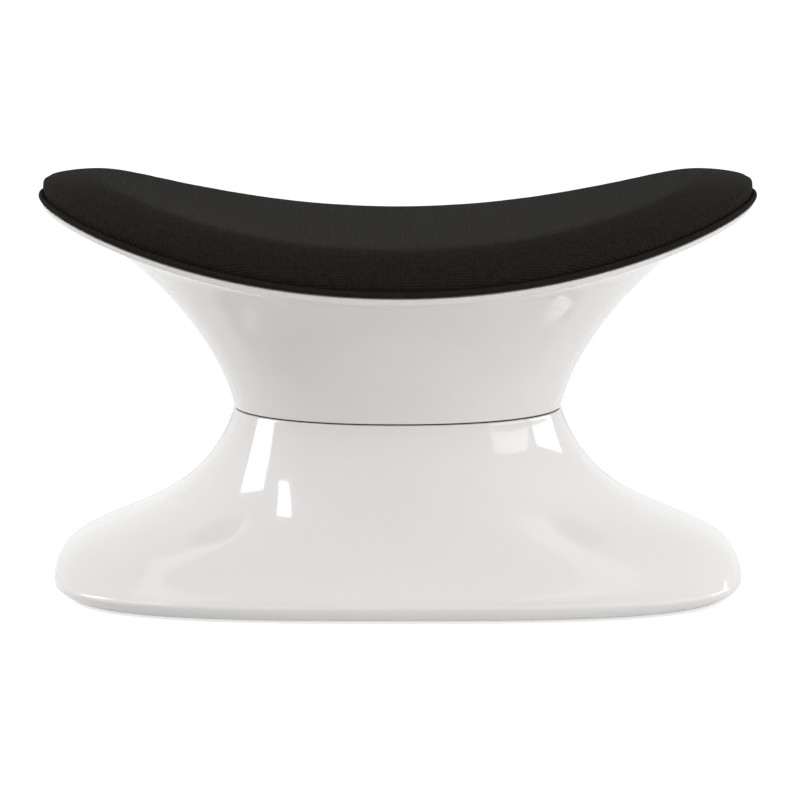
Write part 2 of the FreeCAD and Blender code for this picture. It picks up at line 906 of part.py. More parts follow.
def make_base_board():
    """Plywood inside the lip, bored for its screws and for their heads."""
    thick = size("base_board_thickness")
    rings = []
    for height in (board_low(), board_top()):
        rings.append(ring(*base_board_half(), size("base_power"), height, HIDDEN_SIDES))
    gap = size("fit_gap")
    through = prism(size("screw_diameter") / 2.0 + gap, 2.0 * thick)
    head_height = size("screw_head_height") + gap
    sink = prism(size("screw_head_diameter") / 2.0 + gap, 2.0 * head_height)
    cutters = placed_copies(through, screw_places(board_low() - thick / 2.0))
    cutters += placed_copies(sink, screw_places(board_low() - head_height))
    return feature("base_board", loft(rings).cut(cutters))


def make_board_cleats():
    """Blocks on the base board, shaped to the inside of the base shell and drilled for the screws."""
    low = board_top()
    high = low + size("cleat_height")
    cavity = base_cavity(size("shell_wall") + size("soft_gap"))
    back = size("cleat_back")
    length = size("cleat_length")
    block = Part.makeBox(back + length, length, high - low, Vector(-back, -length / 2.0, 0))
    bite = size("board_screw_bite") + size("hole_gap")
    pilot = prism(size("screw_diameter") / 2.0 + size("fit_gap"), bite)
    cleats = []
    for place in screw_places(low):
        blank = placed_copies(block, [place])[0]
        cleats += blank.common(cavity).cut(placed_copies(pilot, [place])).Solids
    return feature("board_cleats", Part.makeCompound(cleats))


def make_base_fasteners():
    """Board screws, and rubber feet bonded to the base board."""
    head = "Sizes.screw_head_height"
    length = "Sizes.base_board_thickness + Sizes.board_screw_bite"
    board_screw = joined(
        "board_screw",
        "Part::Fuse",
        rod("board_screw_head", "Sizes.screw_head_diameter", head, "0"),
        rod("board_screw_shank", "Sizes.screw_diameter", length, "0"),
    )
    tall = "Sizes.foot_stand + Sizes.base_board_recess"
    bevel = "Sizes.foot_stand / 2"
    radius = "Sizes.foot_diameter / 2"
    rise = (("0", "0"), (f"{radius} - {bevel}", "0"), (radius, bevel), (radius, tall), ("0", tall))
    foot = turned("foot_pad", rise)
    group("board_screws", board_screw, screw_places(board_low()))
    group("foot_pads", foot, foot_places(0.0))


def check_document():
    """Stop before anything is written if an object failed or a sub-part isn't sound."""
    doc.recompute()
    for item in doc.Objects:
        if "Invalid" in item.State or "Error" in item.State:
            raise RuntimeError(f"{item.Label} failed: {item.State}")
    for item in nodes:
        if item.Shape.isNull() or not item.Shape.isValid():
            raise RuntimeError(f"{item.Label} isn't a valid solid")


def write_parts():
    """Write each sub-part to its own file."""
    os.makedirs("parts", exist_ok=True)
    for item in nodes:
        item.Shape.exportStep(f"parts/{item.Label}.step")
        print(f"{item.Label}: {len(item.Shape.Solids)} solids, {item.Shape.Volume / 1000.0:.1f} cm3")


make_base_shell()
make_upper_shell()
make_waist_gasket()
make_seat_foam()
make_seat_cover()
make_seat_welt()
make_seat_board()
make_waist_fasteners()
make_seat_fasteners()
make_base_board()
make_board_cleats()
make_base_fasteners()
check_document()
write_parts()
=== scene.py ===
# %% [markdown]
# # An ottoman with a saddle seat
#
# The real object is two gloss white moulded shells, bolted together at a narrow waist, under a black
# upholstered pad. Almost every outline on it is a superellipse, |x/a|^p + |y/b|^p = 1: a power of 2 is
# an ellipse, and a higher power is squarer. So each surface here is a grid of points over two
# parameters, the direction round the object and the way along a profile.

# %% Load the frame and keep its box
import math

import bpy
import numpy as np
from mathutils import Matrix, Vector


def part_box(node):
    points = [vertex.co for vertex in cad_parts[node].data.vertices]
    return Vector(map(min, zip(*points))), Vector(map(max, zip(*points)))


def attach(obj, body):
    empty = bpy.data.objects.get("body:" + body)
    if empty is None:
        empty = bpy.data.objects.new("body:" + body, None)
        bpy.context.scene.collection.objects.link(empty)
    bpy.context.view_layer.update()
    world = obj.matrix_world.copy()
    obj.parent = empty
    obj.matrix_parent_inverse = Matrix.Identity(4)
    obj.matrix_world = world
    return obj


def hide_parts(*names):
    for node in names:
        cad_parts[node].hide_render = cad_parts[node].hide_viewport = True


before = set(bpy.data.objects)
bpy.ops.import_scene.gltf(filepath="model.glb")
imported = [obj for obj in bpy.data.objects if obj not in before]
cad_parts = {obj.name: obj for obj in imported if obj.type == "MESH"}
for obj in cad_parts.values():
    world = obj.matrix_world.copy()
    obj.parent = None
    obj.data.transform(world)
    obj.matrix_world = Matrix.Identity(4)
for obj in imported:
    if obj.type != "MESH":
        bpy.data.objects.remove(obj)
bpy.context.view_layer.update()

scene = bpy.context.scene
scene.view_settings.view_transform = "Standard"

# %% [markdown]
# ## Sizes
#
# The frame gives the outer sizes of the shells, the waist and the seat, in metres. What a box can't
# show, such as how far the seat's arc rises, is a named value here.

# %% Sizes from the frame, and the few that it can't show
rim_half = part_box("upper_shell")[1].xy
base_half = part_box("base_shell")[1].xy
gasket_low, gasket_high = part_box("waist_gasket")
GASKET_RECESS = 0.002
waist_half = gasket_high.xy + Vector((GASKET_RECESS, GASKET_RECESS))
seam_low = gasket_low.z
seam_high = gasket_high.z
foot_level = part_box("base_shell")[0].z

RIM_POWER = 2.4
WAIST_POWER = 2.15
BASE_POWER = 3.15
RIM_RISE = 0.071
RIM_STRIP = 0.0065
rim_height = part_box("upper_shell")[1].z - RIM_RISE
arc_radius = (rim_half.x**2 + RIM_RISE**2) / (2 * RIM_RISE)
arc_centre = rim_height + arc_radius

SHELL_WALL = 0.004
FLANGE_WIDTH = 0.042
FLANGE_THICKNESS = 0.006
LEDGE_WIDTH = 0.054
LEDGE_THICKNESS = 0.005
SOFT_GAP = 0.0003
print("waist half sizes", tuple(waist_half), "arc radius", round(arc_radius, 4))

# %% [markdown]
# ## Grids of points
#
# A ring is a row of points round the object, and a surface is a stack of rings. Working on whole
# arrays keeps this short: a stack of rings has the shape (rows, columns, 3), and the faces come from
# the same index grid shifted by one row and one column.

# %% Rings on a superellipse
COLUMNS = 384
TINY = 1e-9
direction = np.linspace(0, 2 * np.pi, COLUMNS, endpoint=False)


def outline(half_x, half_y, power):
    """Superellipse in polar form: r = (|cos|^p + |sin|^p)^(-1/p), x = a r cos and y = b r sin."""
    across, along = np.cos(direction), np.sin(direction)
    reach = (np.abs(across) ** power + np.abs(along) ** power) ** (-1 / power)
    return half_x * reach * across, half_y * reach * along


def arc_height(x, lift):
    """Height on the seat's arc: a circle about an axis over the seat, lift above the rim."""
    return arc_centre - np.sqrt((arc_radius - lift) ** 2 - x**2)


def ring(half_x, half_y, power, height):
    """One ring as an array of points. height is a number or an array over the columns."""
    x, y = outline(half_x, half_y, power)
    return np.stack([x, y, np.broadcast_to(height, x.shape)], axis=-1)


def seat_ring(inset, lift, front_inset=None):
    """Ring on the seat: the rim's outline moved in by inset, lift above the rim's arc."""
    front = inset if front_inset is None else front_inset
    x, y = outline(rim_half.x - inset, rim_half.y - front, RIM_POWER)
    return np.stack([x, y, arc_height(x, lift)], axis=-1)


def blend(start, end, share):
    """Value part of the way from start to end."""
    return start + (end - start) * share


def rounded(before, corner, after, steps=5):
    """Rows that round a corner: a quadratic curve, (1-s)^2 A + 2 s (1-s) C + s^2 B."""
    share = np.linspace(0, 1, steps)[:, None, None]
    return (1 - share) ** 2 * before + 2 * share * (1 - share) * corner + share**2 * after


print("columns round each ring:", COLUMNS)

# %% From rings to a mesh


def grid_faces(rows, columns, loop):
    """Quads between neighbouring rings. The columns always close, the rows only if loop is true."""
    index = np.arange(rows * columns).reshape(rows, columns)
    beside = np.roll(index, -1, axis=1)
    if loop:
        quads = [index, beside, np.roll(beside, -1, axis=0), np.roll(index, -1, axis=0)]
    else:
        quads = [index[:-1], beside[:-1], beside[1:], index[1:]]
    return np.stack(quads, axis=-1).reshape(-1, 4)


def signed_volume(points, quads):
    """Sum of the tetrahedra from the origin to each half of each quad: below zero if inside out."""
    a, b, c, d = (points[quads[:, k]] for k in range(4))
    halves = np.einsum("ij,ij->i", a, np.cross(b, c)) + np.einsum("ij,ij->i", a, np.cross(c, d))
    return halves.sum() / 6


def ring_mesh(name, rings, loop):
    """Mesh object over rings: a closed loop of them, or a stack closed by its two end rings."""
    rows, columns, _ = rings.shape
    points = rings.reshape(-1, 3)
    quads = grid_faces(rows, columns, loop)
    faces = quads
    last = (rows - 1) * columns
    ends = [] if loop else [list(range(columns)), list(range(last, last + columns))[::-1]]
    inside_out = signed_volume(points, quads) < 0
    if inside_out:
        faces = quads[:, ::-1]
    else:
        ends = [end[::-1] for end in ends]
    mesh = bpy.data.meshes.new(name)
    mesh.from_pydata(points.tolist(), [], faces.tolist() + ends)
    mesh.validate()
    mesh.shade_smooth()
    piece = bpy.data.objects.new(name, mesh)
    scene.collection.objects.link(piece)
    print(name, "rings", rows, "faces", len(mesh.polygons))
    return piece


# %% [markdown]
# ## Profiles of the two shells
#
# Seen from the side, each shell is a cubic curve from the waist to its outer edge, given as shares of
# the height and of the flare. The base flares differently at its ends and at its front, which is
# what gives it the wide rounded ends and the long slope at the front.

# %% Profile curves
FUNNEL_PROFILE = np.array([(0.0, 0.0), (0.46, 0.11), (0.96, 0.73), (1.0, 1.0)])
BASE_END_PROFILE = np.array([(0.0, 0.0), (0.76, 0.22), (0.58, 1.0), (1.0, 1.0)])
BASE_FRONT_PROFILE = np.array([(0.0, 0.0), (0.40, 0.30), (0.85, 0.55), (1.0, 1.0)])
TABLE_STEPS = 2001


def bezier(profile, share):
    """Cubic curve: the corners weighted by (1-s)^3, 3 (1-s)^2 s, 3 (1-s) s^2 and s^3."""
    share = np.atleast_1d(share)[:, None]
    rest = 1 - share
    weights = np.concatenate([rest**3, 3 * rest**2 * share, 3 * rest * share**2, share**3], axis=1)
    return (weights @ profile).T


def flare_at(profile, height):
    """Share of the flare at a share of the height, read from a fine table of the curve."""
    heights, flares = bezier(profile, np.linspace(0, 1, TABLE_STEPS))
    return np.interp(height, heights, flares)


def slope_run(values, heights):
    """Level thickness of a wall for each unit of its true thickness: sqrt(1 + (run / rise)^2)."""
    return np.hypot(1, np.gradient(values, heights))


print("front flare halfway down the base:", flare_at(BASE_FRONT_PROFILE, 0.5))

# %% [markdown]
# ## Base shell
#
# The base is a thin moulding: a flare, a crease, a lip that tucks under at the ends, and inside it a
# flange at the waist. Its profile is a closed loop here, outside and inside, so that the shell has a
# real wall. The crease and the foot's edge get a small radius, because a moulded edge is never
# sharp, and that radius is what catches the thin bright line along the lip.

# %% Base shell as a closed loop of rings
LIP_HEIGHT = 0.0125
LIP_END_TUCK = 0.015
LIP_FRONT_TUCK = 0.0035
CREASE_ROUND = 0.0022
EDGE_ROUND = 0.0012
CORNER_BIAS = 2.5
INNER_LIP_TOP = 0.6
FLARE_ROWS = 90
FLARE_INSIDE_ROWS = 30
LIP_ROWS = 12
CREASE_STEPS = 7
SLOPE_STEPS = 400
lip_top = foot_level + LIP_HEIGHT


def base_sizes(heights):
    """Half width, half depth and power of the base's outside at each height above the lip.

    The outline squares up late, with share^CORNER_BIAS, so that the foot's corners lie flat above
    the crease.
    """
    share = (seam_low - heights) / (seam_low - lip_top)
    half_x = blend(waist_half.x, base_half.x, flare_at(BASE_END_PROFILE, share))
    half_y = blend(waist_half.y, base_half.y, flare_at(BASE_FRONT_PROFILE, share))
    return half_x, half_y, blend(WAIST_POWER, BASE_POWER, share**CORNER_BIAS)


def base_rings(heights, wall=0.0):
    """Rings of the base's wall, moved in by its thickness square to the surface."""
    fine = np.linspace(seam_low, lip_top, SLOPE_STEPS)
    fine_x, fine_y, _ = base_sizes(fine)
    run_x = np.interp(heights, fine[::-1], slope_run(fine_x, fine)[::-1])
    run_y = np.interp(heights, fine[::-1], slope_run(fine_y, fine)[::-1])
    half_x, half_y, power = base_sizes(heights)
    sizes = zip(half_x - wall * run_x, half_y - wall * run_y, power, heights)
    return np.stack([ring(*row) for row in sizes])


def lip_rings(shares, wall=0.0):
    """Rings of the lip: it tucks in by the square of the share of its height."""
    tuck = shares**2
    half_x = base_half.x - tuck * LIP_END_TUCK - wall
    half_y = base_half.y - tuck * LIP_FRONT_TUCK - wall
    heights = lip_top - shares * LIP_HEIGHT
    return np.stack([ring(x, y, BASE_POWER, z) for x, y, z in zip(half_x, half_y, heights)])


def make_base_shell():
    """Outside from the seam to the foot, up the inside, round the flange and back to the seam."""
    under_flange = seam_low - FLANGE_THICKNESS
    edge = EDGE_ROUND / LIP_HEIGHT
    outside = base_rings(np.linspace(seam_low - EDGE_ROUND, lip_top + CREASE_ROUND, FLARE_ROWS))
    seam_edge = ring(waist_half.x, waist_half.y, WAIST_POWER, seam_low)
    seam_inner = ring(waist_half.x - EDGE_ROUND, waist_half.y - EDGE_ROUND, WAIST_POWER, seam_low)
    crease = base_rings(np.array([lip_top]))
    lip = lip_rings(np.linspace(CREASE_ROUND / LIP_HEIGHT, 1 - edge, LIP_ROWS))
    foot_edge = lip_rings(np.array([1.0]))
    foot_in = lip_rings(np.array([1.0]), EDGE_ROUND)
    inner_lip = lip_rings(np.array([1.0, INNER_LIP_TOP]), SHELL_WALL)
    inside = base_rings(np.linspace(lip_top + SHELL_WALL, under_flange, FLARE_INSIDE_ROWS), SHELL_WALL)
    bore_x = waist_half.x - FLANGE_WIDTH
    bore_y = waist_half.y - FLANGE_WIDTH
    bore = [ring(bore_x, bore_y, WAIST_POWER, height) for height in (under_flange, seam_low)]
    rows = [
        rounded(seam_inner, seam_edge, outside[0]),
        outside[1:],
        rounded(outside[-1], crease[0], lip[0], CREASE_STEPS)[1:],
        lip[1:],
        rounded(lip[-1], foot_edge[0], foot_in[0])[1:],
        inner_lip,
        inside,
        np.stack(bore),
    ]
    return ring_mesh("base_shell_skin", np.concatenate(rows), loop=True)


base_shell = make_base_shell()
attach(base_shell, "root")
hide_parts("base_shell")

# %% [markdown]
# ## Upper shell
#
# The funnel starts level at the waist and ends on the saddle: each ring lifts a share of the way to
# the arc under the rim. The top ends in an upright strip with soft edges. The ledge behind it
# carries the seat, and is hidden once the pad is on. The funnel's ends, outside and inside, are
# shares along its profile.

# %% Upper shell as a closed loop of rings
STRIP_ROUND = 0.006
STRIP_STEPS = 9
FUNNEL_START = 0.006
FUNNEL_END = 0.955
FUNNEL_ROWS = 100
INSIDE_TOP = 0.80
INSIDE_FOOT = 0.08
INSIDE_ROWS = 24
LEDGE_ROOT = 0.013
strip_height = arc_height(outline(rim_half.x, rim_half.y, RIM_POWER)[0], -RIM_STRIP)


def funnel_rings(shares, wall=0.0):
    """Rings of the funnel at shares along its profile, moved in by the wall's level thickness."""
    rise, flare = bezier(FUNNEL_PROFILE, shares)
    half_x = blend(waist_half.x, rim_half.x, flare)
    half_y = blend(waist_half.y, rim_half.y, flare)
    power = blend(WAIST_POWER, RIM_POWER, flare)
    run_x = slope_run(half_x, rise * (strip_height.max() - seam_high))
    run_y = slope_run(half_y, rise * (strip_height.min() - seam_high))
    heights = blend(seam_high, strip_height, rise[:, None])
    sizes = zip(half_x - wall * run_x, half_y - wall * run_y, power, heights)
    return np.stack([ring(*row) for row in sizes])


def make_upper_shell():
    """Outside from the seam to the rim, over the ledge, down the inside and round the flange."""
    over_flange = seam_high + FLANGE_THICKNESS
    outside = funnel_rings(np.linspace(FUNNEL_START, FUNNEL_END, FUNNEL_ROWS))
    seam_edge = ring(waist_half.x, waist_half.y, WAIST_POWER, seam_high)
    seam_inner = ring(waist_half.x - EDGE_ROUND, waist_half.y - EDGE_ROUND, WAIST_POWER, seam_high)
    strip_low = seat_ring(0.0, -RIM_STRIP)
    strip_mid = seat_ring(0.0, STRIP_ROUND - RIM_STRIP)
    strip_top = seat_ring(0.0, -EDGE_ROUND)
    ledge = [seat_ring(LEDGE_WIDTH, 0.0), seat_ring(LEDGE_WIDTH, -LEDGE_THICKNESS)]
    root = seat_ring(LEDGE_WIDTH - LEDGE_ROOT, -LEDGE_THICKNESS)
    inside = funnel_rings(np.linspace(INSIDE_TOP, INSIDE_FOOT, INSIDE_ROWS), SHELL_WALL)
    corner = ring(waist_half.x - SHELL_WALL, waist_half.y - SHELL_WALL, WAIST_POWER, over_flange)
    bore_x = waist_half.x - FLANGE_WIDTH
    bore_y = waist_half.y - FLANGE_WIDTH
    bore = [ring(bore_x, bore_y, WAIST_POWER, height) for height in (over_flange, seam_high)]
    rows = [
        rounded(seam_inner, seam_edge, outside[0]),
        outside[1:],
        rounded(outside[-1], strip_low, strip_mid, STRIP_STEPS)[1:],
        rounded(strip_top, seat_ring(0.0, 0.0), seat_ring(EDGE_ROUND, 0.0)),
        np.stack(ledge + [root]),
        inside,
        np.stack([corner] + bore),
    ]
    return ring_mesh("upper_shell_skin", np.concatenate(rows), loop=True)


upper_shell = make_upper_shell()
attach(upper_shell, "root")
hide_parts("upper_shell")

# %% [markdown]
# ## Seat pad
#
# The pad is foam under tight fabric. Its side stands straight behind the welt, swells a little, then
# turns over into a top that follows the saddle. A form drawn by formula is too perfect for cloth, so
# it is remeshed evenly and given to Blender's cloth with a little air pressure inside, which lets
# the fabric settle as it would over foam. The welt's seam is held still. The remesh rounds the hem
# off, so points near the outline go back on the drawn form before the cloth runs, and those at the
# hem once more after the subdivision.

# %% Pad form
PAD_HEIGHT = 0.043
PAD_SIDE = 0.016
PAD_END_SHOULDER = 0.055
PAD_FRONT_SHOULDER = 0.025
PAD_END_POWER = 1.2
PAD_FRONT_POWER = 2.0
PAD_BULGE = 0.002
HEM_ROWS = 3
SIDE_SHARES = np.linspace(0.15, 1, 7)
SHOULDER_SHARES = np.linspace(0.05, 1, 20)
TOP_SHARES = np.linspace(0.95, 0.02, 24)
UNDERSIDE_SHARES = np.linspace(0.02, 0.98, 20)
WELT_RADIUS = 0.00275
WELT_PROUD = 0.003
drawn_in = 2 * WELT_RADIUS - WELT_PROUD + SOFT_GAP
welt_top = 2 * SOFT_GAP + 2 * WELT_RADIUS


def shoulder_run(share, power):
    """How far a shoulder has turned in at a share of its rise: a quarter of a superellipse."""
    return 1 - (1 - share**power) ** (1 / power)


def pad_rings():
    """Rings from the hem up the side, over the shoulder and across the top to a small middle one."""
    widest = drawn_in - PAD_BULGE
    rise = PAD_HEIGHT - PAD_SIDE
    rows = [seat_ring(drawn_in, lift) for lift in np.linspace(SOFT_GAP, welt_top, HEM_ROWS)]
    for share in SIDE_SHARES:
        swell = blend(drawn_in, widest, math.sin(0.5 * math.pi * share))
        rows.append(seat_ring(swell, blend(welt_top, PAD_SIDE, share)))
    for quarter in SHOULDER_SHARES:
        share = math.sin(0.5 * math.pi * quarter)
        end = widest + PAD_END_SHOULDER * shoulder_run(share, PAD_END_POWER)
        front = widest + PAD_FRONT_SHOULDER * shoulder_run(share, PAD_FRONT_POWER)
        rows.append(seat_ring(end, PAD_SIDE + rise * share, front))
    end = widest + PAD_END_SHOULDER
    front = widest + PAD_FRONT_SHOULDER
    for share in TOP_SHARES:
        x, y = outline((rim_half.x - end) * share, (rim_half.y - front) * share, RIM_POWER)
        rows.append(np.stack([x, y, arc_height(x, PAD_HEIGHT)], axis=-1))
    return np.stack(rows)


def underside_rings():
    """Rings of the pad's underside, from the hem in to a small middle ring."""
    rows = []
    for share in UNDERSIDE_SHARES:
        x, y = outline((rim_half.x - drawn_in) * share, (rim_half.y - drawn_in) * share, RIM_POWER)
        rows.append(np.stack([x, y, arc_height(x, SOFT_GAP)], axis=-1))
    return np.stack(rows)


pad_form = ring_mesh("seat_pad_form", np.concatenate([underside_rings(), pad_rings()]), loop=False)

# %% Cloth over the pad
VOXEL = 0.0055
CLOTH_FRAMES = 20
CLOTH_PRESSURE = 4.0
CLOTH_CAP = 0.0006
HEM_ROUND = 0.0012
OUTLINE_BAND = 0.05
HEM_BAND = 0.022
SHOULDER_SHARE = 0.85


def evaluated_mesh(piece):
    """Mesh of a piece with its modifiers, as a mesh of its own."""
    graph = bpy.context.evaluated_depsgraph_get()
    return bpy.data.meshes.new_from_object(piece.evaluated_get(graph))


def points_of(mesh):
    """All the points of a mesh as one array."""
    flat = np.empty(len(mesh.vertices) * 3)
    mesh.vertices.foreach_get("co", flat)
    return flat.reshape(-1, 3)


def lift_of(points):
    """Distance above the rim's arc: the arc's radius less the distance from its axis."""
    return arc_radius - np.hypot(points[:, 0], arc_centre - points[:, 2])


def pad_insets(lift):
    """Insets at the ends and the front for each lift: the side swells, then the shoulder turns in."""
    swell = np.clip((lift - welt_top) / (PAD_SIDE - welt_top), 0.0, 1.0)
    side = drawn_in - PAD_BULGE * np.sin(0.5 * np.pi * swell)
    share = np.clip((lift - PAD_SIDE) / (PAD_HEIGHT - PAD_SIDE), 0.0, 1.0)
    end = side + PAD_END_SHOULDER * shoulder_run(share, PAD_END_POWER)
    return end, side + PAD_FRONT_SHOULDER * shoulder_run(share, PAD_FRONT_POWER)


def draw_out(mesh, highest):
    """Put points below a lift back on the drawn form: x and y are divided by their reach.

    The reach is 1 on the outline. The remesh rounds the hem off inwards, where the board under the
    cloth would show.
    """
    points = points_of(mesh)
    lift = lift_of(points)
    end, front = pad_insets(lift)
    across = np.abs(points[:, 0]) / (rim_half.x - end)
    along = np.abs(points[:, 1]) / (rim_half.y - front)
    reach = (across**RIM_POWER + along**RIM_POWER) ** (1 / RIM_POWER)
    band = np.where(lift > HEM_ROUND, OUTLINE_BAND, HEM_BAND)
    near = (np.abs(reach - 1) < band) & (lift < highest)
    points[near, :2] /= reach[near, None]
    mesh.vertices.foreach_set("co", points.ravel())
    mesh.update()
    print("points put back on the pad's outline:", int(near.sum()))


def settle(piece):
    """Run the cloth, keep each point within the cap of its start, and fade that out near the welt.

    The fade is f^2 (3 - 2 f), from 0 at the welt's top to 1 on the pad's shoulder.
    """
    before = points_of(piece.data)
    held = piece.vertex_groups.new(name="held")
    low = np.flatnonzero(lift_of(before) < welt_top)
    held.add(low.tolist(), 1.0, "REPLACE")
    cloth = piece.modifiers.new("cloth", "CLOTH").settings
    cloth.vertex_group_mass = "held"
    cloth.use_pressure = True
    cloth.uniform_pressure_force = CLOTH_PRESSURE
    cloth.effector_weights.gravity = 0.0
    for number in range(1, CLOTH_FRAMES + 1):
        scene.frame_set(number)
    settled = evaluated_mesh(piece)
    moved = points_of(settled) - before
    length = np.linalg.norm(moved, axis=1, keepdims=True)
    moved *= np.minimum(1.0, CLOTH_CAP / np.maximum(length, TINY))
    free = np.clip((lift_of(before) - welt_top) / PAD_SIDE, 0.0, 1.0)
    moved *= (free**2 * (3 - 2 * free))[:, None]
    print("cloth moved up to", round(float(length.max()) * 1000, 2), "mm")
    scene.frame_set(1)
    piece.modifiers.clear()
    piece.data.vertices.foreach_set("co", (before + moved).ravel())
    piece.data.update()


def make_seat_pad():
    """Even mesh of the pad's form, settled by cloth and smoothed by one subdivision."""
    remesh = pad_form.modifiers.new("even", "REMESH")
    remesh.mode = "VOXEL"
    remesh.voxel_size = VOXEL
    pad = bpy.data.objects.new("seat_pad", evaluated_mesh(pad_form))
    scene.collection.objects.link(pad)
    bpy.data.objects.remove(pad_form)
    draw_out(pad.data, blend(PAD_SIDE, PAD_HEIGHT, SHOULDER_SHARE))
    settle(pad)
    finer = pad.modifiers.new("finer", "SUBSURF")
    finer.levels = 1
    finer.render_levels = 1
    pad.data = evaluated_mesh(pad)
    pad.modifiers.clear()
    draw_out(pad.data, 2 * welt_top)
    pad.data.shade_smooth()
    print("seat_pad faces", len(pad.data.polygons))
    return pad


seat_pad = make_seat_pad()
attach(seat_pad, "root")
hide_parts("seat_cover", "seat_foam")

# %% [markdown]
# ## Fabric coordinates
#
# A weave has to follow the cloth, over the shoulder and down the side. So each point gets two
# lengths in metres: one along the seat's arc, one from front to back, and the drop below the top is
# added to whichever of them the cloth runs over there.

# %% Fabric coordinates on the pad


def cloth_lengths(points):
    """Lengths along the cloth: u is the arc over x and v is y, each with its share of the drop."""
    along = arc_radius * np.arctan2(points[:, 0], arc_centre - points[:, 2])
    drop = PAD_HEIGHT - lift_of(points)
    end = np.abs(points[:, 0] / rim_half.x) ** (2 * RIM_POWER)
    front = np.abs(points[:, 1] / rim_half.y) ** (2 * RIM_POWER)
    to_end = end / np.maximum(end + front, TINY)
    u = along + np.sign(points[:, 0]) * drop * to_end
    v = points[:, 1] + np.sign(points[:, 1]) * drop * (1 - to_end)
    return np.stack([u, v], axis=-1)


def set_uv(mesh, lengths):
    """Store lengths, one pair for each point, as the mesh's UV map."""
    corners = np.empty(len(mesh.loops), dtype=np.int64)
    mesh.loops.foreach_get("vertex_index", corners)
    layer = mesh.uv_layers.new(name="UVMap")
    layer.data.foreach_set("uv", lengths[corners].astype(np.float32).ravel())


pad_lengths = cloth_lengths(points_of(seat_pad.data))
set_uv(seat_pad.data, pad_lengths)
print("cloth runs", np.ptp(pad_lengths, axis=0).round(3), "m")

# %% [markdown]
# ## Welt
#
# The piping is a cord sewn into a strip of the same cloth, cut on the bias. It lies on the rim and
# stands a little proud of the shell, so it draws the dark line that ends the seat.

# %% Welt as a tube round the rim
WELT_SIDES = 20


def make_welt():
    """Tube round the rim: each ring is a turn round the tube's section, closed on itself."""
    inset = WELT_RADIUS - WELT_PROUD
    lift = SOFT_GAP + WELT_RADIUS
    turns = np.linspace(0, 2 * np.pi, WELT_SIDES, endpoint=False)
    rows = []
    for turn in turns:
        across = inset - WELT_RADIUS * math.cos(turn)
        rows.append(seat_ring(across, lift + WELT_RADIUS * math.sin(turn)))
    return ring_mesh("seat_piping", np.stack(rows), loop=True)


def welt_lengths(points):
    """Lengths along the piping and round it, turned by 45 degrees: the strip is cut on the bias."""
    angle = np.arctan2(points[:, 1] / rim_half.y, points[:, 0] / rim_half.x)
    along = angle * 0.5 * (rim_half.x + rim_half.y)
    around = lift_of(points)
    return np.stack([along + around, along - around], axis=-1) * math.sqrt(0.5)


seat_piping = make_welt()
set_uv(seat_piping.data, welt_lengths(points_of(seat_piping.data)))
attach(seat_piping, "root")
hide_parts("seat_welt")

# %% [markdown]
# ## Shader helpers
#
# A material is a chain of nodes. These helpers add a node, set its values and link it, so that each
# finish below reads as a short list of steps.

# %% Shader helpers
WHITE = (1.0, 1.0, 1.0, 1.0)
BLACK = (0.0, 0.0, 0.0, 1.0)
FIRST_COLOUR = 6
SECOND_COLOUR = 7
MIXED_COLOUR = 2


def add(tree, kind, values=None, **settings):
    """Node of a kind, with its settings and the plain values of its inputs."""
    item = tree.nodes.new(kind)
    for name, value in settings.items():
        setattr(item, name, value)
    for name, value in (values or {}).items():
        item.inputs[name].default_value = value
    return item


def math_step(tree, operation, first, second=None):
    """Math node on links or plain numbers."""
    item = add(tree, "ShaderNodeMath", operation=operation)
    for socket, value in zip(item.inputs, (first, second)):
        if value is None:
            continue
        if isinstance(value, (int, float)):
            socket.default_value = value
        else:
            tree.links.new(value, socket)
    return item.outputs[0]


def colour_mix(tree, share, first, second):
    """Colour part of the way from first to second, two plain colours, by a linked share."""
    item = add(tree, "ShaderNodeMix", {FIRST_COLOUR: first, SECOND_COLOUR: second}, data_type="RGBA")
    tree.links.new(share, item.inputs["Factor"])
    return item.outputs[MIXED_COLOUR]


def new_group(name, inputs, outputs):
    """Empty shader group with float or vector inputs and outputs."""
    group = bpy.data.node_groups.new(name, "ShaderNodeTree")
    for label, kind in inputs:
        group.interface.new_socket(name=label, in_out="INPUT", socket_type=kind)
    for label, kind in outputs:
        group.interface.new_socket(name=label, in_out="OUTPUT", socket_type=kind)
    given = group.nodes.new("NodeGroupInput").outputs
    return group, given, group.nodes.new("NodeGroupOutput").inputs


def new_material(name, **values):
    """Material with one principled shader. Values that are the same all over go on its sockets."""
    material = bpy.data.materials.new(name)
    material.use_nodes = True
    shader = material.node_tree.nodes["Principled BSDF"]
    for label, value in values.items():
        shader.inputs[label.replace("_", " ")].default_value = value
    return material, material.node_tree, shader


def place_group(tree, group, vector, **values):
    """A group in a material, fed by a coordinate, with its own values."""
    item = add(tree, "ShaderNodeGroup", node_tree=group)
    tree.links.new(vector, item.inputs["Vector"])
    for label, value in values.items():
        item.inputs[label.replace("_", " ")].default_value = value
    return item.outputs


def bump(tree, height, shader, distance, strength=1.0):
    """Bump from a height into a shader's normal."""
    item = add(tree, "ShaderNodeBump", {"Distance": distance, "Strength": strength})
    tree.links.new(height, item.inputs["Height"])
    tree.links.new(item.outputs["Normal"], shader.inputs["Normal"])


def vary_roughness(tree, shader, cloudy, spread, least):
    """Roughness that varies with a cloudy value: spread times the value, plus the least."""
    scaled = math_step(tree, "MULTIPLY", cloudy, spread)
    tree.links.new(math_step(tree, "ADD", scaled, least), shader.inputs["Roughness"])


# %% Group: soft cloudy variation
CLOUD_ROUGHNESS = 0.55


